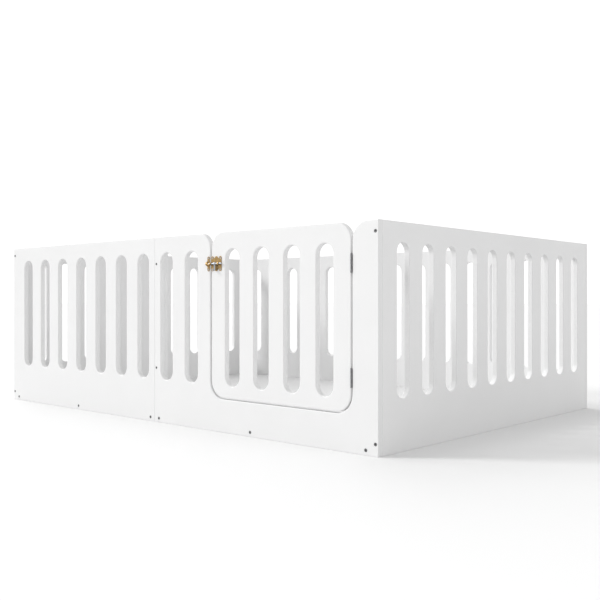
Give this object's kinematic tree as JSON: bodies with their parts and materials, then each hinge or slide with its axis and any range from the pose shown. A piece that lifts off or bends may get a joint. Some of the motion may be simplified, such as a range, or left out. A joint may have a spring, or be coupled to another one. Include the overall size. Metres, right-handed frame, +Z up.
{
  "type": "pet playpen",
  "caption": "Rectangular slotted-board pet playpen with a floor and an outward-opening hinged door held by a small slide bolt.",
  "frame": {"origin": "on the ground, at the middle of the pen's rectangle of boards", "axes": "+X along the pen's length, from the latch side of the door to its hinges; +Y from the front wall with the door to the back wall; +Z up"},
  "size_m": [1.81, 1.2858, 0.6],
  "materials": {
    "white_paint": "satin",
    "dark_screws": "satin",
    "hinge_steel": "satin",
    "latch_brass": "satin",
    "bolt_steel": "satin",
    "beech": "matte"
  },
  "bodies": {
    "pen": {"front_left_panel": "white_paint", "front_right_panel": "white_paint", "back_left_panel": "white_paint", "back_right_panel": "white_paint", "left_side_wall": "white_paint", "right_side_wall": "white_paint", "left_floor_board": "white_paint", "right_floor_board": "white_paint", "front_joining_batten": "white_paint", "back_joining_batten": "white_paint", "upper_hinge_frame_leaf": "hinge_steel", "upper_hinge_pin": "hinge_steel", "lower_hinge_frame_leaf": "hinge_steel", "lower_hinge_pin": "hinge_steel", "hinge_frame_screws": "hinge_steel", "latch_keeper": "latch_brass", "latch_keeper_screws": "bolt_steel", "front_corner_screws": "dark_screws", "back_corner_screws": "dark_screws", "front_floor_screws": "dark_screws", "back_floor_screws": "dark_screws", "front_batten_screws": "dark_screws", "back_batten_screws": "dark_screws", "floor_seam_dowels": "beech", "left_floor_dowels": "beech", "right_floor_dowels": "beech"},
    "door": {"door_panel": "white_paint", "upper_hinge_door_leaf": "hinge_steel", "lower_hinge_door_leaf": "hinge_steel", "hinge_door_screws": "hinge_steel", "latch_plate": "latch_brass", "latch_plate_screws": "bolt_steel"},
    "latch_bolt": {"latch_bolt": "bolt_steel"},
    "latch_lever": {"latch_lever": "bolt_steel"}
  },
  "joints": [
    {"name": "door_hinge", "type": "hinge", "parent": "pen", "child": "door", "pos_m": [0.819, -0.637, 0.3515], "axis": [0, 0, 1], "range_deg": [0, 180]},
    {"name": "bolt_slide", "type": "slide", "parent": "door", "child": "latch_bolt", "axis": [-1, 0, 0], "range_m": [0, 0.01]},
    {"name": "lever_turn", "type": "hinge", "parent": "latch_bolt", "child": "latch_lever", "pos_m": [0.299, -0.6416, 0.505], "axis": [-1, 0, 0], "range_deg": [0, 110]}
  ]
}
